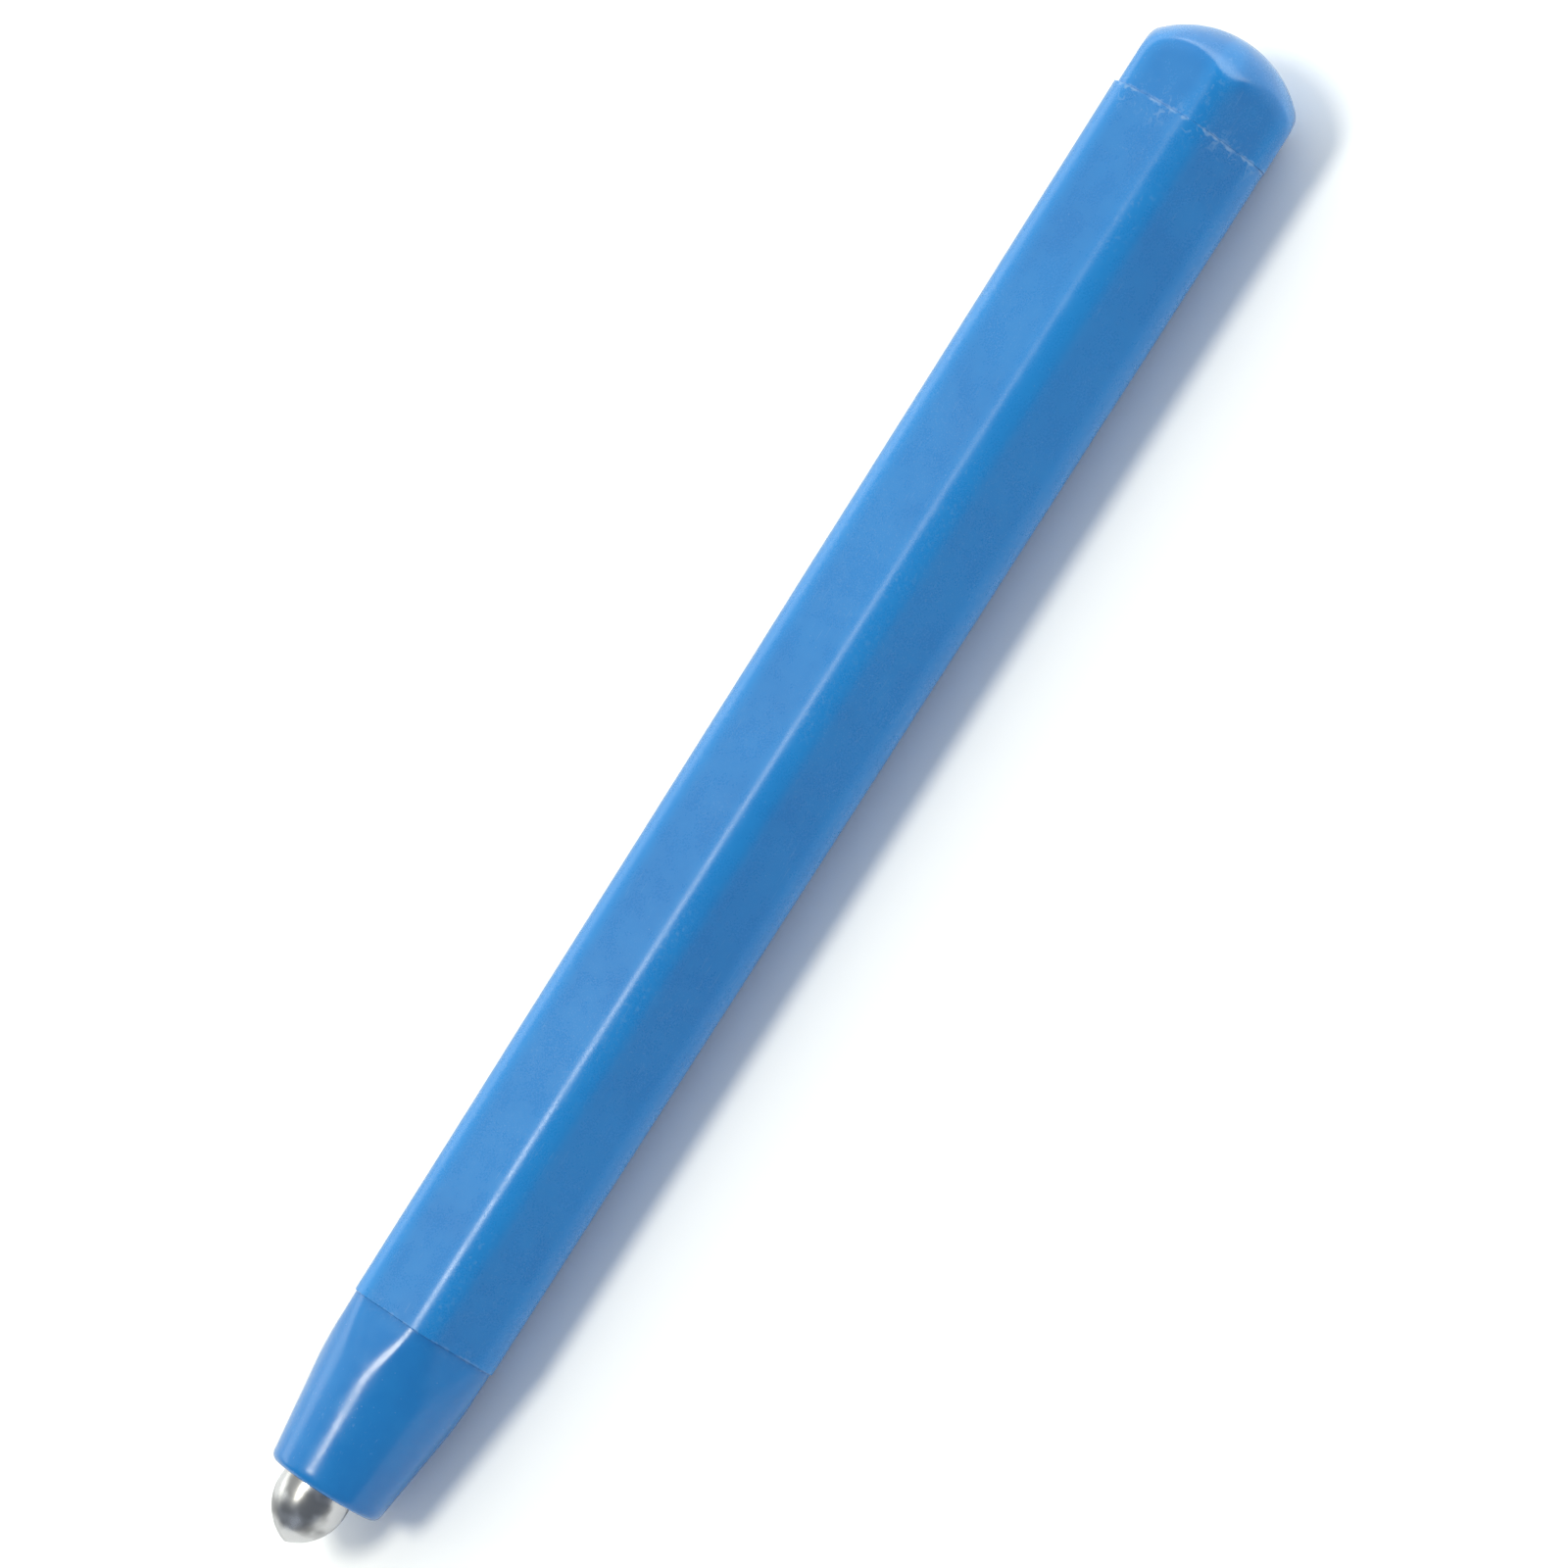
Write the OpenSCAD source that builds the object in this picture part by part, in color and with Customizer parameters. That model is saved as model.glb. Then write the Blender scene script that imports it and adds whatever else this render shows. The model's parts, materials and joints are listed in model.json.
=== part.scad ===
// Six-sided plastic stylus with a sprung magnetic bullet tip.
//
// The pen lies on one flat of its barrel. z = 0 is the surface under it, the tip points
// towards -X and the domed cap towards +X. Each sub-part is drawn about the pen's own axis,
// with x counted from the middle of the pen's length, and laid() sets it down on the flat.

/* [Barrel] */
// Length of the barrel between its two seams
barrel_len = 96.2; // [85:0.1:110]
// Width across flats at the cap end
barrel_rear_af = 11.9; // [11.8:0.05:12.6]
// Width across flats at the nose end, less than at the cap end by the moulding draft
barrel_front_af = 10.9; // [10.8:0.05:11.4]
// Radius of the barrel's six rounded edges at the nose end
barrel_edge_r = 2.2; // [1.6:0.05:2.8]
// Radius of the seat that takes the nose's spigot
nose_seat_r = 4.1; // [4:0.05:4.2]
// Radius of the seat that takes the cap's plug
cap_seat_r = 4.5; // [4.3:0.05:4.6]

/* [End cap] */
// Length of the cap that shows behind the barrel, to the top of the dome
cap_len = 7.15; // [6:0.05:9]
// Width across flats of the cap
cap_af = 11.7; // [11.2:0.05:11.8]
// Radius of the cap's six rounded edges
cap_edge_r = 1.7; // [1:0.05:2.4]
// Radius of the sphere that closes the cap
dome_r = 7.6; // [7:0.1:12]
// Length of the plug that goes into the barrel
cap_plug_len = 6; // [4:0.5:9]
// Radius of the hollow in the plug
cap_core_r = 3.1; // [2:0.1:3.3]
// How far the cap's head stands off its plug, to one side
head_shift = 0.14; // [0:0.02:0.2]

/* [Nose] */
// Length of the nose from the seam to the rim
nose_len = 12.7; // [11:0.1:14]
// Width across flats of the nose at the seam
nose_af = 10.65; // [10.5:0.05:10.75]
// Radius of the nose's six rounded edges
nose_edge_r = 2.1; // [1.6:0.05:2.6]
// Radius of the nose at the rim, before the rim is rounded
rim_r = 4.2; // [4:0.05:4.5]
// Rounding of the rim
rim_fillet = 0.6; // [0.3:0.05:0.9]
// Half angle of the cone
cone_angle = 7.3; // [6:0.1:9]
// Length of the spigot that goes into the barrel
nose_spigot_len = 10; // [9:0.5:12]
// How far the nose's bore, with all that slides in it, stands off the axis, to the other side
bore_shift = 0.38; // [0:0.02:0.4]

/* [Tip] */
// Radius of the metal tip
tip_r = 2.6; // [2.4:0.05:2.7]
// Length of the tip that shows in front of the rim
tip_reach = 4.3; // [4:0.1:5]
// Length of the pointed part of the tip
ogive_len = 3.54; // [3:0.02:3.9]
// Radius of the blunted point
point_r = 0.45; // [0.2:0.05:0.8]
// Length of the guide bore behind the rim
guide_len = 3.2; // [2.5:0.1:4]

/* [Magnets and spring] */
// Radius of each magnet
magnet_r = 2.5; // [2:0.1:2.5]
// Length of each magnet
magnet_len = 5; // [4:0.5:5]
// Radius of the chamber that the carrier slides in
chamber_r = 3.15; // [3.1:0.05:3.2]
// Thickness of the spring wire
wire_d = 0.4; // [0.3:0.05:0.5]
// Turns of the spring, closed ends included
spring_turns = 6; // [5:1:8]

/* [Fits] */
// Gap around a piece that slides
slide_gap = 0.08; // [0.05:0.01:0.1]
// Gap around the body of a pressed plug or spigot
press_gap = 0.1; // [0.06:0.01:0.1]
// Gap over a crush rib or a pressed piece
rib_gap = 0.02; // [0.01:0.01:0.03]

/* [Hidden] */

$fn = 96;
edge_fn = 72;     // facets in a full turn of a rounded edge
over = 1;         // how far a cutting shape runs past the face that it opens

body_blue = [0.17, 0.47, 0.74];
inner_white = [0.86, 0.87, 0.86];
steel = [0.75, 0.75, 0.75];
nickel = [0.68, 0.68, 0.66];

// Stations along the pen's axis
pen_len = tip_reach + nose_len + barrel_len + cap_len;
tip_x = -pen_len / 2;
rim_x = tip_x + tip_reach;
nose_seam_x = rim_x + nose_len;
cap_seam_x = nose_seam_x + barrel_len;

// The drive train behind the rim
collar_r = chamber_r - slide_gap;
collar_len = 1.2;
shoulder_x = rim_x + guide_len;
collar_back_x = shoulder_x + collar_len;
carrier_floor = 1.2;
carrier_back_x = collar_back_x + 2 * magnet_len + carrier_floor;
spigot_end_x = nose_seam_x + nose_spigot_len;
plug_depth = 2.2;
plug_front_x = spigot_end_x - plug_depth;
plug_head_len = 0.8;
plug_head_r = (chamber_r + nose_seat_r) / 2;
spring_r = 2.3;
boss_r = spring_r - wire_d / 2 - 0.3;
boss_len = 1;

// Seats in the barrel
nose_seat_len = nose_spigot_len + plug_head_len + 0.6;
cap_seat_len = cap_plug_len + 0.6;
core_step = 0.2;

// Crush ribs on the plug and the spigot
rib_r = 0.3;
rib_lead = 0.8;

// Draft per side, which is also how far the axis leans when the pen lies on a flat
draft = atan((barrel_rear_af - barrel_front_af) / 2 / barrel_len);
// Distance from the middle of the axis down to the plane of the barrel's lower flat
flat_drop = (barrel_front_af / 2 - nose_seam_x * tan(draft)) * cos(draft);

// Sets the pen down on its lower flat, at z = 0
module laid() {
    translate([0, 0, flat_drop]) rotate([0, -draft, 0]) children();
}

// Moves a piece off the axis, towards the normal of an upper flat
module off_axis(shift) {
    translate([0, shift * cos(30), shift * sin(30)]) children();
}

// A solid of revolution or an extrusion drawn along z, turned to run along x from the station
module along_x(station) {
    translate([station, 0, 0]) rotate([0, 90, 0]) children();
}

// Six-sided outline with rounded corners, a flat facing up and a flat facing down
module rounded_hex(af, edge_r) {
    rotate(30) offset(r = edge_r, $fn = edge_fn)
        circle(r = (af / 2 - edge_r) / cos(30), $fn = 6);
}

// Ribs that bite when a plug is pressed home, in the middles of the six sides
module crush_ribs(seat_r, from_x, len) {
    for (turn = [0 : 60 : 300])
        rotate([turn, 0, 0]) translate([0, 0, seat_r - rib_gap - rib_r])
            along_x(from_x) cylinder(r = rib_r, h = len, $fn = 24);
}

module barrel_body() {
    core_len = barrel_len - nose_seat_len - cap_seat_len;
    difference() {
        along_x(nose_seam_x)
            linear_extrude(height = barrel_len, scale = barrel_rear_af / barrel_front_af)
                rounded_hex(barrel_front_af, barrel_edge_r);
        along_x(nose_seam_x - over) cylinder(r = nose_seat_r, h = nose_seat_len + over);
        along_x(nose_seam_x + nose_seat_len - 0.01)
            cylinder(r1 = nose_seat_r - core_step, r2 = cap_seat_r - core_step, h = core_len + 0.02);
        along_x(cap_seam_x - cap_seat_len) cylinder(r = cap_seat_r, h = cap_seat_len + over);
    }
}

module barrel() {
    color(body_blue) laid() barrel_body();
}

module end_cap() {
    plug_r = cap_seat_r - press_gap;
    head_core = 2;
    color(body_blue) laid() difference() {
        union() {
            off_axis(-head_shift) intersection() {
                along_x(cap_seam_x) linear_extrude(height = cap_len)
                    rounded_hex(cap_af, cap_edge_r);
                translate([cap_seam_x + cap_len - dome_r, 0, 0]) sphere(r = dome_r);
            }
            along_x(cap_seam_x - cap_plug_len) cylinder(r = plug_r, h = cap_plug_len + over);
            crush_ribs(cap_seat_r, cap_seam_x - cap_plug_len + rib_lead, cap_plug_len - rib_lead);
        }
        along_x(cap_seam_x - cap_plug_len - over)
            cylinder(r = cap_core_r, h = cap_plug_len + head_core + over);
    }
}

// Half section of the cone with its rounded rim, with the rim at height 0
function cone_section(steps) = let (
        centre_r = rim_r + rim_fillet * tan(cone_angle) - rim_fillet / cos(cone_angle),
        arc = [for (i = [0 : steps]) let (a = -90 + (90 - cone_angle) * i / steps)
               [centre_r + rim_fillet * cos(a), rim_fillet + rim_fillet * sin(a)]])
    concat([[0, 0]], arc, [[rim_r + nose_len * tan(cone_angle), nose_len], [0, nose_len]]);

module nose_cone() {
    color(body_blue) laid() difference() {
        union() {
            intersection() {
                along_x(rim_x) linear_extrude(height = nose_len) rounded_hex(nose_af, nose_edge_r);
                along_x(rim_x) rotate_extrude() polygon(cone_section(8));
            }
            along_x(nose_seam_x - over)
                cylinder(r = nose_seat_r - press_gap, h = nose_spigot_len + over);
            crush_ribs(nose_seat_r, nose_seam_x, nose_spigot_len - rib_lead);
        }
        off_axis(bore_shift) {
            along_x(rim_x - over) cylinder(r = tip_r + slide_gap, h = nose_len);
            along_x(shoulder_x) cylinder(r = chamber_r, h = spigot_end_x - shoulder_x + over);
        }
    }
}

// Half section of the tip: a blunt ogive that runs smoothly into the shank, then the collar
module tip_section() {
    side_r = (pow(ogive_len - point_r, 2) / (tip_r - point_r) + point_r + tip_r) / 2;
    join_z = point_r - point_r * (ogive_len - point_r) / (side_r - point_r);
    collar_z = tip_reach + guide_len;
    intersection() {
        translate([0, point_r]) circle(r = point_r);
        square([point_r, 2 * point_r]);
    }
    intersection() {
        translate([tip_r - side_r, ogive_len]) circle(r = side_r);
        translate([0, join_z]) square([tip_r, ogive_len]);
    }
    translate([0, ogive_len]) square([tip_r, collar_z + collar_len - ogive_len]);
    translate([0, collar_z]) square([collar_r, collar_len]);
}

module tip() {
    color(steel) laid() off_axis(bore_shift) along_x(tip_x) rotate_extrude() tip_section();
}

module magnet(place) {
    color(nickel) laid() off_axis(bore_shift) along_x(collar_back_x + place * magnet_len)
        cylinder(r = magnet_r, h = magnet_len);
}

module magnet_carrier() {
    color(inner_white) laid() off_axis(bore_shift) {
        difference() {
            along_x(collar_back_x) cylinder(r = collar_r, h = 2 * magnet_len + carrier_floor);
            along_x(collar_back_x - over) cylinder(r = magnet_r + rib_gap, h = 2 * magnet_len + over);
        }
        along_x(carrier_back_x) cylinder(r = boss_r, h = boss_len);
    }
}

module spring_plug() {
    color(inner_white) laid() off_axis(bore_shift) {
        along_x(plug_front_x) cylinder(r = chamber_r - rib_gap, h = plug_depth);
        along_x(spigot_end_x) cylinder(r = plug_head_r, h = plug_head_len);
        along_x(plug_front_x - boss_len) cylinder(r = boss_r, h = boss_len);
    }
}

// Height of the spring's wire centre at a share t of its turns: the end turns lie closed
function spring_rise(t) = let (
        end_share = 1 / spring_turns,
        length = plug_front_x - carrier_back_x - wire_d - 2 * rib_gap,
        closed = wire_d * 1.02)
    t < end_share ? closed * t / end_share
    : t > 1 - end_share ? length - closed * (1 - t) / end_share
    : closed + (length - 2 * closed) * (t - end_share) / (1 - 2 * end_share);

// One ring of wire points at a share t of the turns
function wire_ring(t, sides) = let (a = 360 * spring_turns * t)
    [for (k = [0 : sides - 1]) let (
        b = 360 * k / sides,
        r = spring_r + wire_d / 2 * cos(b))
        [r * cos(a), r * sin(a), wire_d / 2 + rib_gap + spring_rise(t) + wire_d / 2 * sin(b)]];

module tip_spring() {
    sides = 8;
    rings = 16 * spring_turns;
    points = [for (i = [0 : rings]) each wire_ring(i / rings, sides)];
    skin = [for (i = [0 : rings - 1], k = [0 : sides - 1]) let (n = (k + 1) % sides)
            [i * sides + k, (i + 1) * sides + k, (i + 1) * sides + n, i * sides + n]];
    first_end = [for (k = [0 : sides - 1]) k];
    last_end = [for (k = [sides - 1 : -1 : 0]) rings * sides + k];
    color(steel) laid() off_axis(bore_shift) along_x(carrier_back_x)
        polyhedron(points = points, faces = concat(skin, [first_end, last_end]));
}

barrel();
end_cap();
nose_cone();
tip();
magnet(0);  // magnet_front
magnet(1);  // magnet_rear
magnet_carrier();
tip_spring();
spring_plug();
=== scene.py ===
"""Looks of the six-sided magnetic stylus: detailed meshes, procedural materials, studio and camera.

Every mesh is drawn in millimetres in the pen's own frame, where x runs along the pen's axis from
the tip towards the cap with 0 at the middle of the pen, y is to the side and z is up. PEN carries
that frame into the row frame, in metres.
"""

import json
import math

import bpy
from mathutils import Matrix, Vector, noise


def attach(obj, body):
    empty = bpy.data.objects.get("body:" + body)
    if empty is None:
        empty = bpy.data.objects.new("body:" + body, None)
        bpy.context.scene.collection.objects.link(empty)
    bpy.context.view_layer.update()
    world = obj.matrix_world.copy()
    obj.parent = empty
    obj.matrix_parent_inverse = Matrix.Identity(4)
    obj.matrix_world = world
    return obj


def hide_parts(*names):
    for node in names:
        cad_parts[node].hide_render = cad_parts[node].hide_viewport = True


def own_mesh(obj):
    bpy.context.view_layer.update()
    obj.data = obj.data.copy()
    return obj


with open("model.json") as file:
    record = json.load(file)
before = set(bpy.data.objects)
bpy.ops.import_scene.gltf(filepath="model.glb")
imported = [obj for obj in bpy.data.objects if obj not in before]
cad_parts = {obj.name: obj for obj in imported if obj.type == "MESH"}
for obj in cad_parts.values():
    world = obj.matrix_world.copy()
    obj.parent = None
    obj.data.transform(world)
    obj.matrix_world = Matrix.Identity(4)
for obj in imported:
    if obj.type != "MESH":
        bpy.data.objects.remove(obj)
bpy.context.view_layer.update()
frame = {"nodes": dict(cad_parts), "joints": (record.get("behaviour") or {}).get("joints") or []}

# ---------------------------------------------------------------- the pen's frame and stations

MM = 0.001
NEAR = 0.05  # a CAD vertex this close to a station counts as at it, in millimetres


def plunge_joint():
    """The frame's record of the joint that the tip slides on."""
    return next(j for j in frame["joints"] if j["name"] == "tip_plunge")


def pen_matrix():
    """The row frame's matrix of the pen's own frame, from the plunge joint and the barrel."""
    along = Vector(plunge_joint()["axis"]).normalized()
    side = Vector((0, 1, 0))
    up = along.cross(side)
    heights = [v.co.dot(up) for v in frame["nodes"]["barrel"].data.vertices]
    origin = Vector((0, 0, (min(heights) + max(heights)) / 2 / up.z))
    turn = Matrix((along, side, up)).transposed().to_4x4()
    return Matrix.Translation(origin) @ turn


PEN = pen_matrix()


def local_points(node):
    """The CAD node's vertices in the pen's frame, in millimetres."""
    inverse = PEN.inverted()
    return [(inverse @ v.co) / MM for v in frame["nodes"][node].data.vertices]


def span(node):
    """Lowest and highest station of a CAD node along the pen's axis, in millimetres."""
    xs = [p.x for p in local_points(node)]
    return min(xs), max(xs)


def off_axis(node, low=-math.inf, high=math.inf):
    """How far the middle of a CAD node, between two stations, stands off the axis, as (0, y, z)."""
    points = [p for p in local_points(node) if low <= p.x <= high]
    ys, zs = [p.y for p in points], [p.z for p in points]
    return Vector((0, (min(ys) + max(ys)) / 2, (min(zs) + max(zs)) / 2))


def widest(node):
    """Largest distance of a CAD node's surface from its own middle line, in millimetres."""
    middle = off_axis(node)
    return max(math.hypot(p.y - middle.y, p.z - middle.z) for p in local_points(node))


def flat_height(node, station):
    """Half the distance between the upper and the lower flat of a six-sided CAD node."""
    heights = [p.z for p in local_points(node) if abs(p.x - station) < NEAR]
    return (max(heights) - min(heights)) / 2


NOSE_SEAM, CAP_SEAM = span("barrel")
PLUG_END, DOME_TOP = span("end_cap")
RIM, SPIGOT_END = span("nose_cone")
TIP_POINT, COLLAR_BACK = span("tip")
SPRING_FRONT, SPRING_BACK = span("tip_spring")
CARRIER_FRONT, BOSS_BACK = span("magnet_carrier")
PLUG_BOSS, PLUG_HEAD_BACK = span("spring_plug")
BORE_SHIFT = off_axis("magnet_front")
HEAD_SHIFT = off_axis("end_cap", CAP_SEAM - NEAR, CAP_SEAM + NEAR)

# Sizes that the CAD holds and a mesh can't be asked for, in millimetres
BARREL_EDGE_FRONT = 2.2
CAP_EDGE = 1.7
NOSE_EDGE = 2.1
DOME_RADIUS = 7.6
RIM_RADIUS = 4.2
RIM_FILLET = 0.6
CONE_ANGLE = math.radians(7.3)
NOSE_SEAT = 4.1
CAP_SEAT = 4.5
CORE_STEP = 0.2
SEAT_SLACK = 0.6
PRESS_GAP = 0.1
SLIDE_GAP = 0.08
RIB_GAP = 0.02
RIB_LEAD = 0.8
GUIDE_RADIUS = 2.68
GUIDE_LENGTH = 3.2
CHAMBER_RADIUS = 3.15
CAP_CORE = 3.1
HEAD_CORE = 2.0
OGIVE_LENGTH = 3.54
POINT_RADIUS = 0.45
SPRING_RADIUS = 2.3
WIRE = 0.4
SPRING_TURNS = 6
BOSS_GAP = 0.3
BOSS_RADIUS = SPRING_RADIUS - WIRE / 2 - BOSS_GAP
MAGNET_RADIUS = 2.5

# ---------------------------------------------------------------- mesh tools

SIDES = 6
SIDE_ANGLE = math.radians(60)
PER_SIDE = 24  # points on each side of a six-sided ring
ROUND = 128  # points on a round ring
HUB = 0.2  # radius of the small ring at the middle of a round piece's end
WIDE_HUB = 0.3  # the same for the tip and for the cap's core


def mesh_object(name, points, faces, body, slot, nodes):
    """A smooth-shaded piece from points in the pen's frame, riding on a body for some CAD nodes."""
    mesh = bpy.data.meshes.new(name)
    mesh.from_pydata([PEN @ (Vector(p) * MM) for p in points], [], faces)
    mesh.validate()
    mesh.shade_smooth()
    piece = bpy.data.objects.new(name, mesh)
    bpy.context.scene.collection.objects.link(piece)
    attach(piece, body)
    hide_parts(*nodes)
    return piece


def loft(rings, ends="none"):
    """Points and faces of a skin over rings that all have the same number of points.

    ends is "none", "join" to close the last ring onto the first, or "fan" to close the first and
    the last ring each onto a point on the axis.
    """
    count = len(rings[0])
    points = [p for ring in rings for p in ring]
    last = len(rings) if ends == "join" else len(rings) - 1
    faces = []
    for i in range(last):
        a = i * count
        b = (i + 1) % len(rings) * count
        for k in range(count):
            n = (k + 1) % count
            faces.append((a + k, a + n, b + n, b + k))
    if ends == "fan":
        for base, flip in ((0, True), ((len(rings) - 1) * count, False)):
            middle = len(points)
            ring = points[base:base + count]
            points.append(sum((Vector(p) for p in ring), Vector()) / count)
            for k in range(count):
                n = (k + 1) % count
                edge = (base + n, base + k) if flip else (base + k, base + n)
                faces.append((middle, *edge))
    return points, faces


def moved(rings, shift):
    """Rings moved bodily off the axis."""
    return [[Vector(p) + shift for p in ring] for ring in rings]


def round_ring(x, radius):
    """A circle about the axis."""
    turn = 2 * math.pi / ROUND
    return [(x, radius * math.cos(turn * k), radius * math.sin(turn * k)) for k in range(ROUND)]


def side_ring(x, shape):
    """A ring of six equal sides. shape(u) gives the angle from a side's middle and the radius."""
    ring = []
    for side in range(SIDES):
        middle = math.radians(90 + 60 * side)
        for k in range(PER_SIDE):
            angle, radius = shape((k + 0.5) / PER_SIDE - 0.5)
            ring.append((x, radius * math.cos(middle + angle), radius * math.sin(middle + angle)))
    return ring


def hex_shape(flat, edge):
    """Outline of a six-sided section: flat is from its axis to a side, edge its edges' radius.

    A side's points are shared out: a quarter on the half arc at each end, the rest on the flat.
    """
    half_flat = (flat - edge) * math.tan(SIDE_ANGLE / 2)
    arc_share = 0.25

    def shape(u):
        flat_share = 0.5 - arc_share
        if abs(u) <= flat_share:
            across, height = half_flat * u / flat_share, flat
        else:
            turned = SIDE_ANGLE / 2 * (abs(u) - flat_share) / arc_share
            across = math.copysign(half_flat + edge * math.sin(turned), u)
            height = flat - edge + edge * math.cos(turned)
        return math.atan2(across, height), math.hypot(across, height)

    return shape


def round_shape(radius):
    """Outline of a plain circle, in six sides."""
    return lambda u: (SIDE_ANGLE * u, radius)


def rib_shape(radius, reach):
    """Outline of a round plug with one crush rib in the middle of each side.

    The points crowd towards the rib, where their spacing is spread times an even one.
    """
    rib_half = math.radians(4.2)
    spread, crowding, bluntness = 0.3, 1.3, 0.6

    def shape(u):
        angle = SIDE_ANGLE * u * (spread + (1 - spread) * (2 * abs(u)) ** crowding)
        lift = math.cos(math.pi / 2 * angle / rib_half) if abs(angle) < rib_half else 0
        return angle, radius + reach * lift ** bluntness

    return shape


def soft_min(a, b, reach):
    """The smaller of two distances, with a rounded change-over where they differ by under reach."""
    mix = max(reach - abs(a - b), 0) / reach
    return min(a, b) - mix * mix * reach / 4


def steps(low, high, count):
    """Evenly spaced values from low to high, both included."""
    return [low + (high - low) * i / count for i in range(count + 1)]


def quarter(count):
    """Sine and cosine pairs over a quarter turn, for rounding an edge between two rings."""
    return [(math.sin(a), math.cos(a)) for a in steps(0, math.pi / 2, count)]


# ---------------------------------------------------------------- outlines

FILLET_STEPS = 4
SUPPORT = 0.08  # how far past a rounded edge the first ring of a wall stands
SWELL_SIZE = 7.0
SWELL_DEPTH = 0.014
LONGEST = 1.0  # longest step between the rings of a small piece


def rounded(nodes):
    """A path of (station, radius) through corners given as (station, radius, rounding).

    Each rounded corner has a support point before and after its arc, so that smooth shading
    stays in the corner.
    """
    path = []
    for i, (x, h, rounding) in enumerate(nodes):
        if rounding == 0:
            path.append((x, h))
            continue
        corner = Vector((x, h))
        back = (Vector(nodes[i - 1][:2]) - corner).normalized()
        ahead = (Vector(nodes[i + 1][:2]) - corner).normalized()
        half = back.angle(ahead) / 2
        reach = rounding / math.tan(half)
        middle = corner + (back + ahead).normalized() * (rounding / math.sin(half))
        first = corner + back * reach - middle
        last = corner + ahead * reach - middle
        path.append(tuple(corner + back * (reach + rounding / 2)))
        path += [tuple(middle + first.slerp(last, share) * rounding)
                 for share in steps(0, 1, FILLET_STEPS)]
        path.append(tuple(corner + ahead * (reach + rounding / 2)))
    return path


def stretched(path, longest):
    """The same path with its long straight stretches cut into equal lengths."""
    out = [path[0]]
    for (x0, h0), (x1, h1) in zip(path, path[1:]):
        pieces = max(1, math.ceil(math.hypot(x1 - x0, h1 - h0) / longest))
        for share in steps(0, 1, pieces)[1:]:
            out.append((x0 + (x1 - x0) * share, h0 + (h1 - h0) * share))
    return out


def swollen(ring, depth):
    """A ring moved in and out by the slow swell of a moulded wall."""
    out = []
    for x, y, z in ring:
        swell = depth * noise.noise(Vector((x, y, z)) / SWELL_SIZE)
        grow = 1 + swell / math.hypot(y, z)
        out.append((x, y * grow, z * grow))
    return out


def turned_piece(name, node, corners, body, slot):
    """A round piece turned about the bore's axis from a rounded outline."""
    rings = moved([round_ring(x, h) for x, h in stretched(rounded(corners), LONGEST)], BORE_SHIFT)
    return mesh_object(name, *loft(rings, "fan"), body, slot, [node])


# ---------------------------------------------------------------- six-sided pieces

EDGE_BREAK = 0.035
NICK_SIZE = 0.5
NICK_DEPTH = 0.05
BARREL_RINGS = 96
HEAD_RINGS = 56
NOSE_RINGS = 56
PLUG_RINGS = 24


def nicked(ring, depth):
    """A ring whose edge is knocked in here and there."""
    out = []
    for x, y, z in ring:
        knock = max(0, noise.noise(Vector((x, y, z)) / NICK_SIZE)) ** 2
        grow = 1 - depth * knock / math.hypot(y, z)
        out.append((x, y * grow, z * grow))
    return out


def edge_break(x, towards):
    """Stations and insets that round an outer edge at x, whose wall lies towards +1 or -1."""
    return [(x + towards * EDGE_BREAK * (1 - s), EDGE_BREAK * (1 - c))
            for s, c in quarter(FILLET_STEPS)]


def make_barrel():
    """The long tube: walls with draft, broken end edges, two round seats and a tapered core."""
    core_longest = 4.0
    outside = 0.5  # the corner before the first and after the last only shows a direction
    front, rear = flat_height("barrel", NOSE_SEAM), flat_height("barrel", CAP_SEAM)

    def outer(x, inset=0.0):
        scale = 1 + (rear / front - 1) * (x - NOSE_SEAM) / (CAP_SEAM - NOSE_SEAM)
        return side_ring(x, hex_shape(front * scale - inset, BARREL_EDGE_FRONT * scale - inset))

    walls = steps(NOSE_SEAM + EDGE_BREAK + SUPPORT, CAP_SEAM - EDGE_BREAK - SUPPORT, BARREL_RINGS)
    rings = [nicked(outer(x, inset), NICK_DEPTH) for x, inset in reversed(edge_break(NOSE_SEAM, 1))]
    rings += [swollen(outer(x), SWELL_DEPTH) for x in walls]
    rings += [nicked(outer(x, inset), 2 * NICK_DEPTH) for x, inset in edge_break(CAP_SEAM, -1)]
    nose_seat_end = PLUG_HEAD_BACK + SEAT_SLACK
    cap_seat_end = PLUG_END - SEAT_SLACK
    inside = rounded([
        (CAP_SEAM, CAP_SEAT + outside, 0),
        (CAP_SEAM, CAP_SEAT, 0.15),
        (cap_seat_end, CAP_SEAT, 0.06),
        (cap_seat_end, CAP_SEAT - CORE_STEP, 0.06),
        (nose_seat_end, NOSE_SEAT - CORE_STEP, 0.06),
        (nose_seat_end, NOSE_SEAT, 0.06),
        (NOSE_SEAM, NOSE_SEAT, 0.15),
        (NOSE_SEAM, NOSE_SEAT + outside, 0),
    ])
    rings += [side_ring(x, round_shape(h)) for x, h in stretched(inside[1:-1], core_longest)]
    return mesh_object("barrel_shell", *loft(rings, "join"), "barrel", "blue_plastic", ["barrel"])


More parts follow.
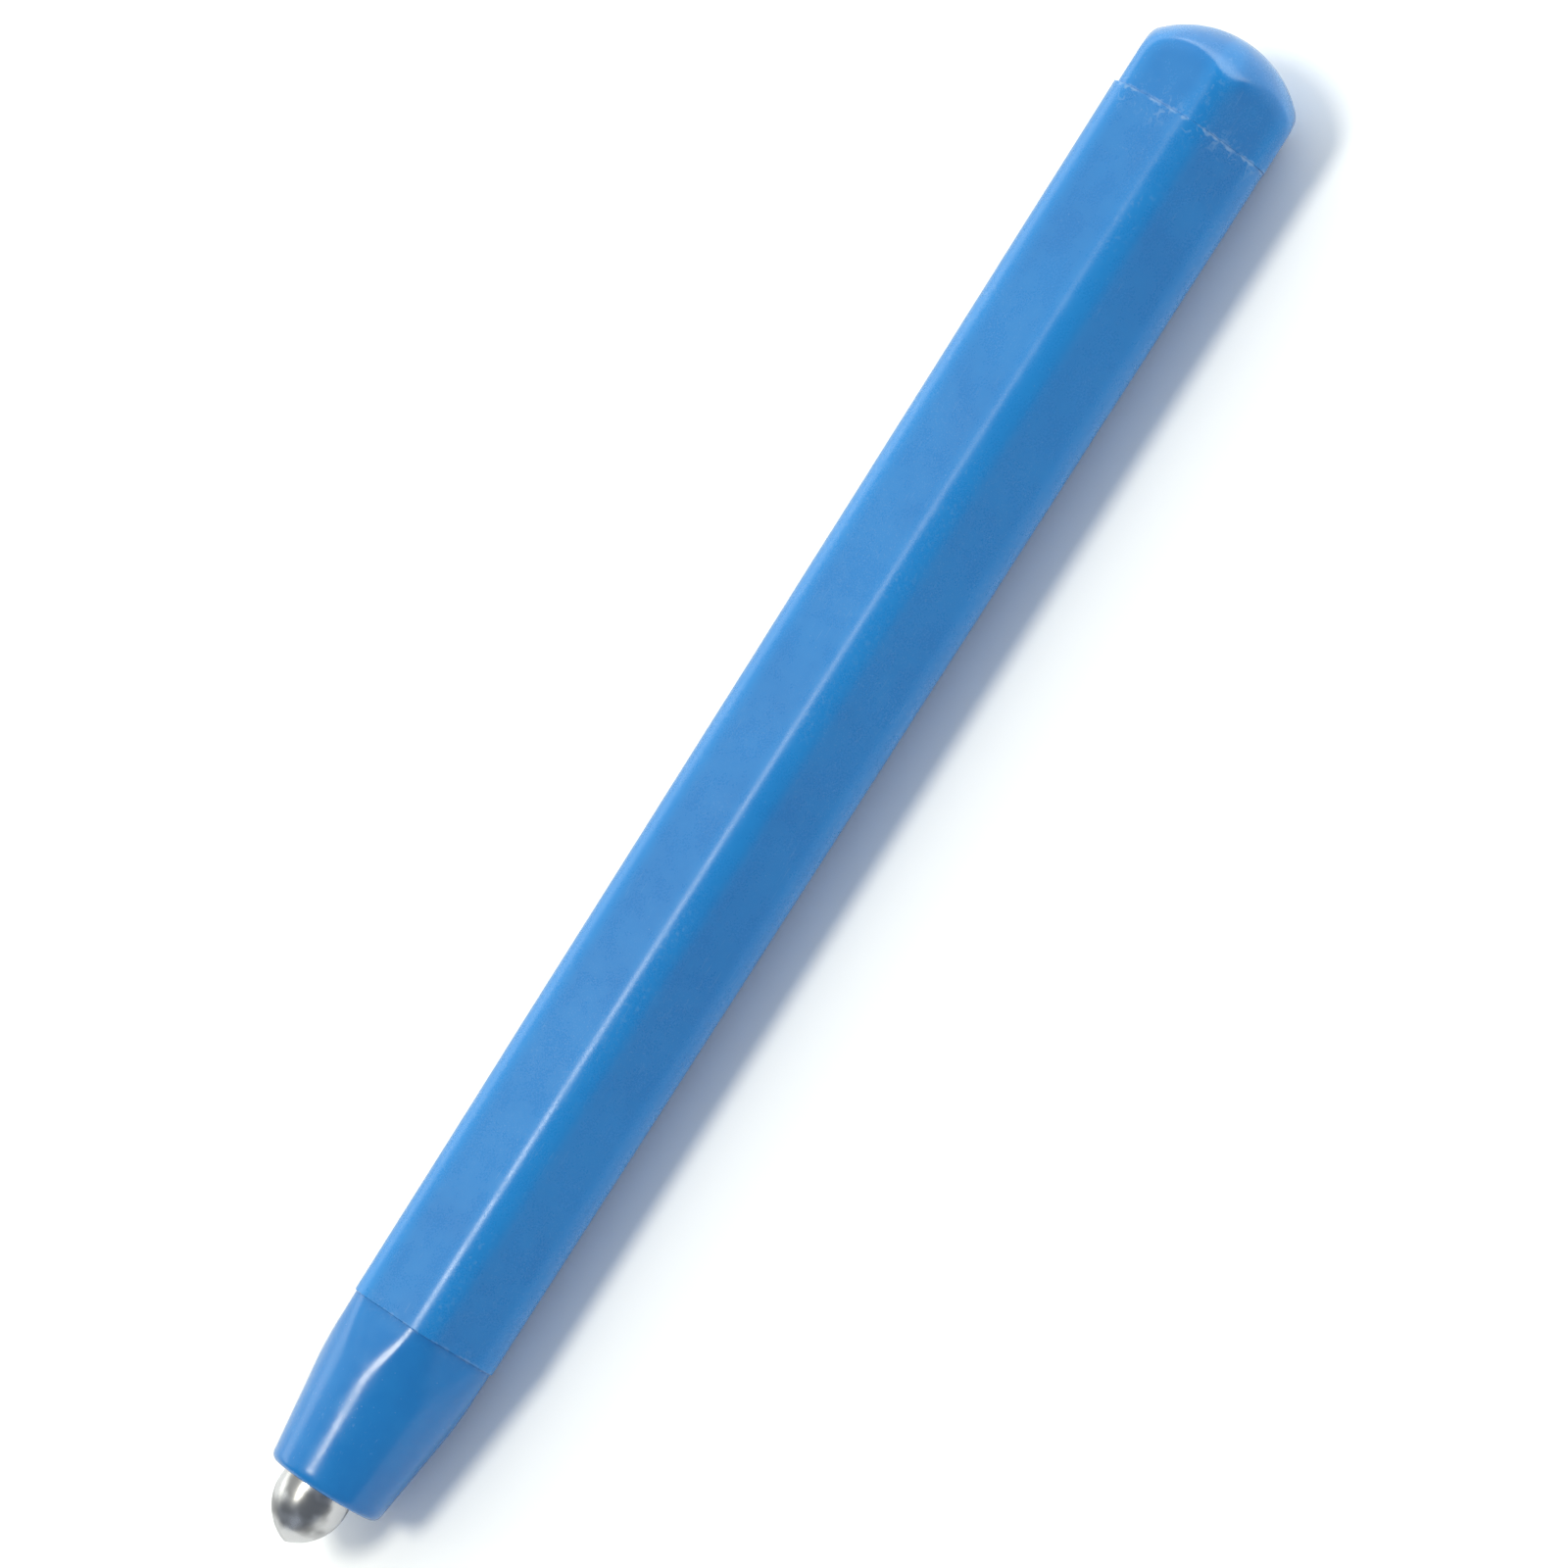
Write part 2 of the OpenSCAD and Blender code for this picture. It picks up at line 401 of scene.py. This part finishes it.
def plug_rings(base, end, seat, ribs_end):
    """Outer rings of a pressed plug from its shoulder at base to its end.

    Its crush ribs run from the shoulder to ribs_end, and fade out there over a short lead.
    """
    radius = seat - PRESS_GAP
    reach = PRESS_GAP - RIB_GAP
    bevel = 0.25
    fade = 0.35
    way = math.copysign(1, end - base)
    out = []
    for x in steps(base, end - way * bevel, PLUG_RINGS):
        lift = min(max((ribs_end - x) * way / fade, 0), 1)
        out.append(side_ring(x, rib_shape(radius, reach * lift)))
    for s, c in quarter(FILLET_STEPS)[1:]:
        out.append(side_ring(end - way * bevel * (1 - s), rib_shape(radius - bevel * (1 - c), 0)))
    return out


def make_end_cap():
    """The domed cap: a six-sided head that a ball closes, over a cored plug with crush ribs."""
    flat = flat_height("end_cap", CAP_SEAM)
    ball = (DOME_TOP - CAP_SEAM) - DOME_RADIUS
    blend = 0.5

    def head_ring(angle):
        """A ring of the head at an angle from the axis, seen from the middle of the seam."""
        c, s = math.cos(angle), math.sin(angle)
        to_ball = ball * c + math.sqrt(DOME_RADIUS ** 2 - (ball * s) ** 2)
        outline = side_ring(0, hex_shape(flat, CAP_EDGE))
        ring = []
        for _, y, z in outline:
            across = math.hypot(y, z)
            far = soft_min(across / s, to_ball, blend)
            ring.append((CAP_SEAM + far * c, y / across * far * s, z / across * far * s))
        return ring

    core_end = CAP_SEAM + HEAD_CORE
    core = rounded([
        (core_end, WIDE_HUB, 0),
        (core_end, CAP_CORE, 0.4),
        (PLUG_END, CAP_CORE, 0.12),
        (PLUG_END, CAP_SEAT, 0),
    ])
    rings = [side_ring(x, round_shape(h)) for x, h in stretched(core[:-1], LONGEST)]
    rings += reversed(plug_rings(CAP_SEAM, PLUG_END, CAP_SEAT, PLUG_END + RIB_LEAD))
    head = [nicked(side_ring(x, hex_shape(flat - inset, CAP_EDGE - inset)), NICK_DEPTH)
            for x, inset in reversed(edge_break(CAP_SEAM, 1))]
    first = math.atan2(flat, EDGE_BREAK + SUPPORT)
    last = math.radians(1.2)
    head += [swollen(head_ring(a), SWELL_DEPTH) for a in steps(first, last, HEAD_RINGS)]
    rings += moved(head, HEAD_SHIFT)
    return mesh_object("cap_shell", *loft(rings, "fan"), "end_cap", "blue_plastic", ["end_cap"])


def make_nose():
    """The nose: six flats that run out into a cone, a rounded rim, a spigot and a stepped bore."""
    flat = flat_height("nose_cone", NOSE_SEAM)
    slope = math.tan(CONE_ANGLE)
    blend = 0.22

    def outer(x, inset=0.0):
        cone = RIM_RADIUS + (x - RIM) * slope - inset
        shape = hex_shape(flat - inset, NOSE_EDGE - inset)

        def cut(u):
            angle, radius = shape(u)
            return angle, soft_min(radius, cone, blend)

        return side_ring(x, cut)

    ahead = 2  # the last corner only shows which way the cone runs on
    rim = rounded([
        (RIM, GUIDE_RADIUS, 0),
        (RIM, RIM_RADIUS, RIM_FILLET),
        (RIM + ahead, RIM_RADIUS + ahead * slope, 0),
    ])[1:-1]
    walls = steps(rim[-1][0] + SUPPORT, NOSE_SEAM - EDGE_BREAK - SUPPORT, NOSE_RINGS)
    rings = [side_ring(x, round_shape(h)) for x, h in rim]
    rings += [swollen(outer(x), SWELL_DEPTH / 2) for x in walls]
    rings += [nicked(outer(x, inset), NICK_DEPTH) for x, inset in edge_break(NOSE_SEAM, -1)]
    rings += plug_rings(NOSE_SEAM, SPIGOT_END, NOSE_SEAT, SPIGOT_END - RIB_LEAD)
    shoulder = RIM + GUIDE_LENGTH
    bore = rounded([
        (SPIGOT_END, NOSE_SEAT, 0),
        (SPIGOT_END, CHAMBER_RADIUS, 0.08),
        (shoulder, CHAMBER_RADIUS, 0.1),
        (shoulder, GUIDE_RADIUS, 0.08),
        (RIM, GUIDE_RADIUS, 0.1),
        (RIM, RIM_RADIUS, 0),
    ])
    bore_rings = [side_ring(x, round_shape(h)) for x, h in stretched(bore[1:-1], LONGEST)]
    rings += moved(bore_rings, BORE_SHIFT)
    return mesh_object("nose_shell", *loft(rings, "join"), "nose", "blue_plastic", ["nose_cone"])


# ---------------------------------------------------------------- round pieces and the spring

def make_tip():
    """The steel bullet: a blunt ogive on a shank, with the collar that keeps it in the nose."""
    point_rings, ogive_rings = 8, 32
    first_angle = math.radians(86)
    shank_start, shank_longest = 0.2, 0.8
    radius = GUIDE_RADIUS - SLIDE_GAP
    collar = widest("tip")
    run, rise = OGIVE_LENGTH - POINT_RADIUS, radius - POINT_RADIUS
    side = (run ** 2 / rise + POINT_RADIUS + radius) / 2
    join = math.asin(run / (side - POINT_RADIUS))
    path = [(TIP_POINT + POINT_RADIUS * (1 - math.sin(a)), POINT_RADIUS * math.cos(a))
            for a in steps(first_angle, join, point_rings)[:-1]]
    path += [(TIP_POINT + OGIVE_LENGTH - side * math.sin(a), side * math.cos(a) - side + radius)
             for a in steps(join, 0, ogive_rings)]
    shank_end = RIM + GUIDE_LENGTH
    path += stretched(rounded([
        (TIP_POINT + OGIVE_LENGTH + shank_start, radius, 0),
        (shank_end, radius, 0.05),
        (shank_end, collar, 0.12),
        (COLLAR_BACK, collar, 0.12),
        (COLLAR_BACK, WIDE_HUB, 0),
    ]), shank_longest)
    rings = moved([round_ring(x, h) for x, h in path], BORE_SHIFT)
    return mesh_object("tip_bullet", *loft(rings, "fan"), "tip", "polished_steel", ["tip"])


def make_magnet(name, node):
    """A plated cylinder magnet with rounded edges."""
    low, high = span(node)
    return turned_piece(name, node, [
        (low, HUB, 0),
        (low, MAGNET_RADIUS, 0.18),
        (high, MAGNET_RADIUS, 0.18),
        (high, HUB, 0),
    ], "tip", "magnet_nickel")


def make_carrier():
    """The moulded cup round the magnets, with the boss that centres the spring."""
    wall = widest("magnet_carrier")
    floor = span("magnet_rear")[1]
    inner = MAGNET_RADIUS + RIB_GAP
    back = SPRING_FRONT - RIB_GAP
    return turned_piece("magnet_cup", "magnet_carrier", [
        (floor, HUB, 0),
        (floor, inner, 0),
        (CARRIER_FRONT, inner, 0.12),
        (CARRIER_FRONT, wall, 0.15),
        (back, wall, 0.2),
        (back, BOSS_RADIUS, 0.08),
        (BOSS_BACK, BOSS_RADIUS, 0.25),
        (BOSS_BACK, HUB, 0),
    ], "tip", "white_plastic")


def make_spring_plug():
    """The plug that closes the back of the nose: spring boss, pressed body and dished flange."""
    body = CHAMBER_RADIUS - RIB_GAP
    head = widest("spring_plug")
    front = SPRING_BACK + RIB_GAP
    dish_radius, dish_depth, dish_slope = 2.2, 0.35, 0.2
    return turned_piece("plug_turned", "spring_plug", [
        (PLUG_BOSS, HUB, 0),
        (PLUG_BOSS, BOSS_RADIUS, 0.25),
        (front, BOSS_RADIUS, 0.08),
        (front, body, 0.2),
        (SPIGOT_END, body, 0),
        (SPIGOT_END, head, 0.15),
        (PLUG_HEAD_BACK, head, 0.2),
        (PLUG_HEAD_BACK, dish_radius, 0.1),
        (PLUG_HEAD_BACK - dish_depth, dish_radius - dish_slope, 0.1),
        (PLUG_HEAD_BACK - dish_depth, HUB, 0),
    ], "nose", "white_plastic")


def make_spring():
    """The compression spring: wire on a helix whose first and last turns lie closed."""
    around, per_turn = 14, 40
    closed_pitch = 1.02  # in wire thicknesses, so that closed turns don't run into each other
    length = SPRING_BACK - SPRING_FRONT - WIRE
    closed = WIRE * closed_pitch
    end_share = 1 / SPRING_TURNS
    points, faces = [], []
    rings = per_turn * SPRING_TURNS
    for t in steps(0, 1, rings):
        if t < end_share:
            rise = closed * t / end_share
        elif t > 1 - end_share:
            rise = length - closed * (1 - t) / end_share
        else:
            rise = closed + (length - 2 * closed) * (t - end_share) / (1 - 2 * end_share)
        turn = 2 * math.pi * SPRING_TURNS * t
        for a in steps(0, 2 * math.pi, around)[:-1]:
            radius = SPRING_RADIUS + WIRE / 2 * math.cos(a)
            x = SPRING_FRONT + WIRE / 2 + rise + WIRE / 2 * math.sin(a)
            point = Vector((x, radius * math.cos(turn), radius * math.sin(turn)))
            points.append(point + BORE_SHIFT)
    for base in range(0, rings * around, around):
        for k in range(around):
            n = (k + 1) % around
            faces.append((base + k, base + around + k, base + around + n, base + n))
    faces.append(tuple(range(around)))
    faces.append(tuple(reversed(range(rings * around, (rings + 1) * around))))
    spring = mesh_object("spring_wire", points, faces, "nose", "spring_steel", ["tip_spring"])
    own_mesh(spring)
    return spring


# ---------------------------------------------------------------- node materials

class Finish:
    """A node material round one Principled shader, with textures measured in millimetres."""

    def __init__(self, name, **settings):
        self.material = bpy.data.materials.new(name)
        self.material.use_nodes = True
        self.nodes = self.material.node_tree.nodes
        self.links = self.material.node_tree.links
        self.shader = self.nodes["Principled BSDF"]
        for socket, value in settings.items():
            self.shader.inputs[socket.replace("_", " ")].default_value = value
        place = self.nodes.new("ShaderNodeTexCoord").outputs["Object"]
        into_pen = PEN.inverted()
        self.place = self.scaled(place, 1 / MM)
        self.place = self.turned(self.place, into_pen.to_euler(), into_pen.to_translation() / MM)
        self.along = self.axis("X")

    def connect(self, value, socket):
        """Plugs in another node's output, or sets a plain value."""
        if isinstance(value, bpy.types.NodeSocket):
            self.links.new(value, socket)
        else:
            socket.default_value = value

    def scaled(self, place, scale):
        """Coordinates multiplied by a number."""
        node = self.nodes.new("ShaderNodeVectorMath")
        node.operation = "SCALE"
        self.connect(place, node.inputs[0])
        node.inputs["Scale"].default_value = scale
        return node.outputs["Vector"]

    def turned(self, place, turn, shift=(0, 0, 0), stretch=(1, 1, 1)):
        """Coordinates turned, shifted and stretched."""
        node = self.nodes.new("ShaderNodeMapping")
        self.connect(place, node.inputs["Vector"])
        node.inputs["Location"].default_value = shift
        node.inputs["Rotation"].default_value = turn
        node.inputs["Scale"].default_value = stretch
        return node.outputs["Vector"]

    def axis(self, letter):
        """One coordinate in the pen's frame, in millimetres."""
        node = self.nodes.new("ShaderNodeSeparateXYZ")
        self.connect(self.place, node.inputs[0])
        return node.outputs[letter]

    def calc(self, operation, a, b=0.0):
        """One step of arithmetic."""
        node = self.nodes.new("ShaderNodeMath")
        node.operation = operation
        for socket, value in zip(node.inputs, (a, b)):
            self.connect(value, socket)
        return node.outputs["Value"]

    def cloud(self, size, detail, place=None, distortion=0.0):
        """Noise with features of a size in millimetres, from 0 to 1."""
        node = self.nodes.new("ShaderNodeTexNoise")
        self.connect(self.place if place is None else place, node.inputs["Vector"])
        node.inputs["Scale"].default_value = 1 / size
        node.inputs["Detail"].default_value = detail
        node.inputs["Distortion"].default_value = distortion
        return node.outputs["Fac"]

    def cells(self, size):
        """Distance to the nearest of points scattered about a size apart, as a share of it."""
        node = self.nodes.new("ShaderNodeTexVoronoi")
        self.connect(self.place, node.inputs["Vector"])
        node.inputs["Scale"].default_value = 1 / size
        return node.outputs["Distance"]

    def between(self, value, low, high, to_low=0.0, to_high=1.0):
        """A smooth step of a value as it goes from low to high."""
        node = self.nodes.new("ShaderNodeMapRange")
        node.interpolation_type = "SMOOTHSTEP"
        for socket, number in zip(node.inputs, (value, low, high, to_low, to_high)):
            self.connect(number, socket)
        return node.outputs["Result"]

    def tint(self, amount, a, b):
        """A colour between two others."""
        node = self.nodes.new("ShaderNodeMix")
        node.data_type = "RGBA"
        colours = [s for s in node.inputs if s.type == "RGBA"]
        self.connect(amount, node.inputs[0])
        for socket, value in zip(colours, (a, b)):
            self.connect((*value, 1) if isinstance(value, tuple) else value, socket)
        return next(s for s in node.outputs if s.type == "RGBA")

    def relief(self, height, depth, under=None):
        """A bump of a depth in millimetres, on top of another one."""
        node = self.nodes.new("ShaderNodeBump")
        node.inputs["Distance"].default_value = depth * MM
        self.connect(height, node.inputs["Height"])
        if under is not None:
            self.connect(under, node.inputs["Normal"])
        return node.outputs["Normal"]

    def ridge(self):
        """How far round from the nearest of the six ridges a point lies, from 0 to 0.5."""
        angle = self.calc("ARCTAN2", self.axis("Z"), self.axis("Y"))
        return self.calc("PINGPONG", self.calc("DIVIDE", angle, SIDE_ANGLE), 0.5)

    def grazing(self):
        """How far a point is seen edge on: 0 face on and 1 on the outline."""
        return self.nodes.new("ShaderNodeLayerWeight").outputs["Facing"]

    def show(self, socket, value):
        """Drives one of the shader's sockets."""
        self.connect(value, self.shader.inputs[socket])


BLUE_DEEP = (0.001, 0.145, 0.426)
BLUE_PALE = (0.002, 0.166, 0.468)
BLUE_MILKY = (0.005, 0.194, 0.494)
# painted light: a paler blue along the ridges, standing in for light that bleeds through the thin
# edges
BLUE_PAINTED_RIDGE_LIGHT = (0.002, 0.219, 0.582)
# painted shade: a darker blue towards the outline, standing in for the diffuse light that falls off
# at grazing angles
BLUE_PAINTED_OUTLINE_SHADE = (0.002, 0.1, 0.25)
# pale colour of the dust, scratches, rubbed spots and seam scuffs, also used for painted glints
# that stand in for the sparkle of the grain
WHITE_MARKS_AND_GLINTS = (0.36, 0.50, 0.66)


def scratches(f, turn, width, length, keep, seed):
    """Fine lines of a width and length, turned about the three axes. A high keep leaves fewer."""
    place = f.turned(f.place, turn, (seed, seed, seed), (1 / length, 1 / width, 1 / width))
    lines = f.cloud(1.0, 1.0, place)
    patches = f.cloud(9.0, 2.0, f.turned(f.place, turn, (seed, 0, seed)))
    return f.calc("MULTIPLY", f.between(lines, 0.70, 0.76), f.between(patches, keep, keep + 0.12))


def handling_marks(f):
    """Specks of dust and four families of scratches, from 0 to 1."""
    dust = f.between(f.cells(0.55), 0.05, 0.11, 1, 0)
    dust = f.calc("MULTIPLY", dust, f.between(f.cloud(3.0, 2.0), 0.5, 0.66))
    lines = scratches(f, (0.1, 0.4, 1.25), 0.06, 2.6, 0.55, 3.1)
    for turn, seed in (((0.9, 0.2, 0.35), 7.7), ((0.2, 1.1, 2.4), 11.3), ((0.5, 0.1, 0.8), 5.9)):
        lines = f.calc("MAXIMUM", lines, scratches(f, turn, 0.05, 1.8, 0.57, seed))
    return f.calc("MAXIMUM", dust, lines)


def ridge_wear_and_glints(f, wear_and_glints):
    """Rubbed spots along the ridges and patches of painted glints, pale specks that stand in for
    the sparkle of the grain, up to a strength of wear.
    """
    rubbed = f.calc("MULTIPLY", f.between(f.ridge(), 0.04, 0.2, wear_and_glints, 0),
                    f.between(f.cloud(0.3, 4.0), 0.52, 0.7))
    rubbed = f.calc("MULTIPLY", rubbed, f.between(f.cloud(7.0, 2.0), 0.42, 0.6))
    # painted glints: fine pale specks in the base colour that stand in for the sparkle of the grain
    painted_glints = f.calc("MULTIPLY", f.between(f.cloud(0.1, 1.0), 0.6, 0.7, 0, wear_and_glints),
                     f.between(f.cloud(8.0, 2.0), 0.4, 0.6))
    return f.calc("MAXIMUM", rubbed, painted_glints)


def seam_wear(f, station, width, strength):
    """A ragged scuffed edge at a seam, with fainter scuffs that spread from it."""
    away = f.calc("ABSOLUTE", f.calc("SUBTRACT", f.along, station))
    ragged = f.calc("ADD", away, f.between(f.cloud(0.5, 3.0), 0.3, 0.7, -width / 2, width / 2))
    scuff = f.calc("MULTIPLY", f.between(ragged, width / 4, width, strength, 0),
                   f.between(f.cloud(0.9, 4.0), 0.38, 0.62))
    spread = f.calc("MULTIPLY", f.between(away, width, 9 * width, strength / 2, 0),
                    f.between(f.cloud(0.6, 4.0, distortion=1.5), 0.55, 0.7))
    return f.calc("MAXIMUM", scuff, spread)


def moulded_plastic(name, roughness, grain, wear_and_glints, painted_ridge_light, seams):
    """Opaque blue moulded plastic: mottled, finely grained, scratched and whitened at its seams,
    with painted light along the ridges, painted shade towards the outline and painted glints.

    grain is the depth of the fine pimples in millimetres, wear is the strength of the rubbed spots
    along the ridges and of the painted glints, lit is how much painted light brightens the plastic
    along the ridges, and seams lists (station, width, strength) for each end of the piece where the
    edge is scuffed.
    """
    mark_strength = 0.22
    mark_roughness = 0.3
    f = Finish(name, IOR=1.5)
    slow = f.cloud(11.0, 3.0, distortion=0.6)
    middle = f.cloud(1.6, 3.0)
    fine = f.cloud(0.13, 2.0)
    colour = f.tint(f.between(slow, 0.3, 0.7), BLUE_DEEP, BLUE_PALE)
    colour = f.tint(f.between(middle, 0.35, 0.75, 0, 0.22), colour, BLUE_MILKY)
    # painted light: the base colour turns paler blue near the ridges, standing in for light through
    # the thin edges
    colour = f.tint(f.between(f.ridge(), 0.08, 0.28, painted_ridge_light, 0), colour, BLUE_PAINTED_RIDGE_LIGHT)
    # painted shade: the base colour darkens where the surface is seen edge on, towards the outline
    colour = f.tint(f.between(f.grazing(), 0.5, 0.95, 0, 0.4), colour, BLUE_PAINTED_OUTLINE_SHADE)
    marks_and_glints = f.calc("MULTIPLY", handling_marks(f), mark_strength)
    # rubbed spots along the ridges are real rubbing; the pale specks that come with them are
    # painted glints
    marks_and_glints = f.calc("MAXIMUM", marks_and_glints, ridge_wear_and_glints(f, wear_and_glints))
    for station, width, strength in seams:
        marks_and_glints = f.calc("MAXIMUM", marks_and_glints, seam_wear(f, station, width, strength))
    f.show("Base Color", f.tint(marks_and_glints, colour, WHITE_MARKS_AND_GLINTS))
    dull = f.calc("ADD", f.between(middle, 0.3, 0.7, -0.03, 0.04),
                  f.between(fine, 0.35, 0.65, roughness - 0.02, roughness + 0.03))
    f.show("Roughness", f.calc("ADD", dull, f.calc("MULTIPLY", marks_and_glints, mark_roughness)))
    waves = f.relief(f.cloud(2.6, 2.0), 0.010)
    pimples = f.calc("MULTIPLY", f.between(fine, 0.56, 0.74),
                     f.between(f.cloud(9.0, 2.0), 0.35, 0.6, 0.3, 1))
    f.show("Normal", f.relief(pimples, grain, waves))
    return f.material


def polished_metal(name, colour, roughness, lathe):
    """Bare or plated metal with dark smears that are partly smudges and partly painted reflections
    of dark surroundings, shallow dents and turning lines of a depth lathe.
    """
    smear_shade = 0.38
    dent_depth = 0.022
    f = Finish(name, Metallic=1.0)
    smudges_and_dark_reflections = f.cloud(1.8, 1.5)
    # painted reflection: the darker colour in the smears stands in for dark surroundings mirrored
    # in the metal, and partly for smudges on it
    smudge_and_reflection_colour = tuple(smear_shade * c for c in colour)
    f.show("Base Color", f.tint(f.between(smudges_and_dark_reflections, 0.36, 0.64), colour, smudge_and_reflection_colour))
    rings = f.cloud(0.05, 1.0, f.turned(f.place, (0, 0, 0), stretch=(1, 0.02, 0.02)))
    dents = f.cloud(1.5, 1.0)
    f.show("Roughness", f.between(smudges_and_dark_reflections, 0.25, 0.75, roughness - 0.04, roughness + 0.06))
    f.show("Normal", f.relief(rings, lathe, f.relief(dents, dent_depth)))
    return f.material


def white_moulding(name):
    """Off-white moulded plastic with a faint grain."""
    f = Finish(name, IOR=1.49)
    colour = f.tint(f.between(f.cloud(2.5, 3.0), 0.3, 0.7), (0.74, 0.75, 0.73), (0.66, 0.66, 0.62))
    f.show("Base Color", colour)
    fine = f.cloud(0.12, 2.0)
    f.show("Roughness", f.between(fine, 0.3, 0.7, 0.38, 0.5))
    f.show("Normal", f.relief(fine, 0.004, f.relief(f.cloud(1.8, 2.0), 0.01)))
    return f.material


# ---------------------------------------------------------------- the pieces and their finishes

barrel = make_barrel()
end_cap = make_end_cap()
nose_cone = make_nose()
tip = make_tip()
magnets = [make_magnet("magnet_one", "magnet_front"), make_magnet("magnet_two", "magnet_rear")]
carrier = make_carrier()
spring_plug = make_spring_plug()
spring = make_spring()

steel = polished_metal("polished_steel", (0.55, 0.55, 0.56), 0.27, 0.0012)
nickel = polished_metal("magnet_nickel", (0.64, 0.63, 0.60), 0.18, 0.0005)
wire = polished_metal("spring_steel", (0.50, 0.49, 0.48), 0.30, 0.0015)
white = white_moulding("white_plastic")
barrel.data.materials.append(moulded_plastic("blue_barrel", 0.28, 0.0025, 0.12, 0.45, [
    (CAP_SEAM, 0.25, 0.4),
    (NOSE_SEAM, 0.15, 0.2),
]))
end_cap.data.materials.append(moulded_plastic("blue_cap", 0.24, 0.0008, 0.1, 0.4, [
    (CAP_SEAM, 0.2, 0.25),
]))
nose_cone.data.materials.append(moulded_plastic("blue_nose", 0.2, 0.0005, 0.0, 0.0, [
    (NOSE_SEAM, 0.12, 0.15),
]))
tip.data.materials.append(steel)
spring.data.materials.append(wire)
for piece in magnets:
    piece.data.materials.append(nickel)
for piece in (carrier, spring_plug):
    piece.data.materials.append(white)

# ---------------------------------------------------------------- floor, light and camera

FLOOR_SIZE = 4.0


def make_floor():
    """A plain pale floor under the pen."""
    half = FLOOR_SIZE / 2
    mesh = bpy.data.meshes.new("floor")
    mesh.from_pydata([(-half, -half, 0), (half, -half, 0), (half, half, 0), (-half, half, 0)], [],
                     [(0, 1, 2, 3)])
    floor = bpy.data.objects.new("floor", mesh)
    bpy.context.scene.collection.objects.link(floor)
    material = bpy.data.materials.new("floor")
    material.use_nodes = True
    shader = material.node_tree.nodes["Principled BSDF"]
    shader.inputs["Base Color"].default_value = (0.93, 0.93, 0.93, 1)
    shader.inputs["Roughness"].default_value = 0.9
    shader.inputs["Specular IOR Level"].default_value = 0.1
    mesh.materials.append(material)


def soft_light(name, around, lean, distance, size, power, colour):
    """An oval area light that looks at the pen.

    around is its angle about the pen from the horizon on the camera's side, lean is its tilt
    towards the cap, both in degrees, and size is its length along the pen and its width.
    """
    light = bpy.data.lights.new(name, "AREA")
    light.shape = "ELLIPSE"
    light.size, light.size_y = size
    light.energy = power
    light.color = colour
    a, e = math.radians(around), math.radians(lean)
    away = Vector((math.sin(e), -math.cos(a) * math.cos(e), math.sin(a) * math.cos(e)))
    along = Vector((math.cos(e), math.cos(a) * math.sin(e), -math.sin(a) * math.sin(e)))
    turn = Matrix((along, away.cross(along), away)).transposed().to_4x4()
    lamp = bpy.data.objects.new(name, light)
    lamp.matrix_world = Matrix.Translation(away * distance) @ turn
    lamp.visible_camera = False
    bpy.context.scene.collection.objects.link(lamp)


WARM = (1, 1, 0.88)
WARMER = (1, 0.97, 0.84)
SKY_COLOUR = (0.9, 1.0, 1.14, 1)
SKY_STRENGTH = 0.5

make_floor()
soft_light("key", 99, -11, 1.2, (0.46, 0.32), 7.0, WARMER)
soft_light("overhead", 112, 10, 1.0, (2.2, 0.68), 2.3, WARM)
soft_light("side", 166, 10, 1.0, (2.2, 0.5), 3.9, WARM)
soft_light("high_side", 150, 10, 1.0, (2.2, 1.0), 4.2, WARM)
soft_light("end", 90, 80, 0.8, (0.4, 1.4), 5.5, WARM)

world = bpy.data.worlds.new("studio")
bpy.context.scene.world = world
world.use_nodes = True
world.node_tree.nodes["Background"].inputs["Color"].default_value = SKY_COLOUR
world.node_tree.nodes["Background"].inputs["Strength"].default_value = SKY_STRENGTH
bpy.context.scene.view_settings.view_transform = "Standard"

VIEW_ELEVATION = math.radians(60)
VIEW_DISTANCE = 0.6
VIEW_FOOT = -0.011
VIEW_ROLL = math.radians(57.58)
FRAME_WIDTH = 0.10596
SENSOR_WIDTH = 36
AIM_ALONG = 0.001
AIM_ACROSS = -0.0007


def make_camera():
    """A long lens that looks down on the ridge between two flats, with the tip at lower left."""
    side, rise = math.cos(VIEW_ELEVATION), math.sin(VIEW_ELEVATION)
    place = PEN @ Vector((VIEW_FOOT, -side * VIEW_DISTANCE, rise * VIEW_DISTANCE))
    aim = PEN @ Vector((AIM_ALONG, rise * AIM_ACROSS, side * AIM_ACROSS))
    forward = (aim - place).normalized()
    along = PEN.to_3x3() @ Vector((1, 0, 0))
    along = (along - forward * along.dot(forward)).normalized()
    across = along.cross(forward)
    right = along * math.cos(VIEW_ROLL) - across * math.sin(VIEW_ROLL)
    up = right.cross(forward)
    turn = Matrix((right, up, -forward)).transposed().to_4x4()
    lens = bpy.data.cameras.new("camera")
    lens.sensor_width = SENSOR_WIDTH
    lens.lens = SENSOR_WIDTH * VIEW_DISTANCE / FRAME_WIDTH
    camera = bpy.data.objects.new("camera", lens)
    camera.matrix_world = Matrix.Translation(place) @ turn
    bpy.context.scene.collection.objects.link(camera)
    bpy.context.scene.camera = camera


make_camera()
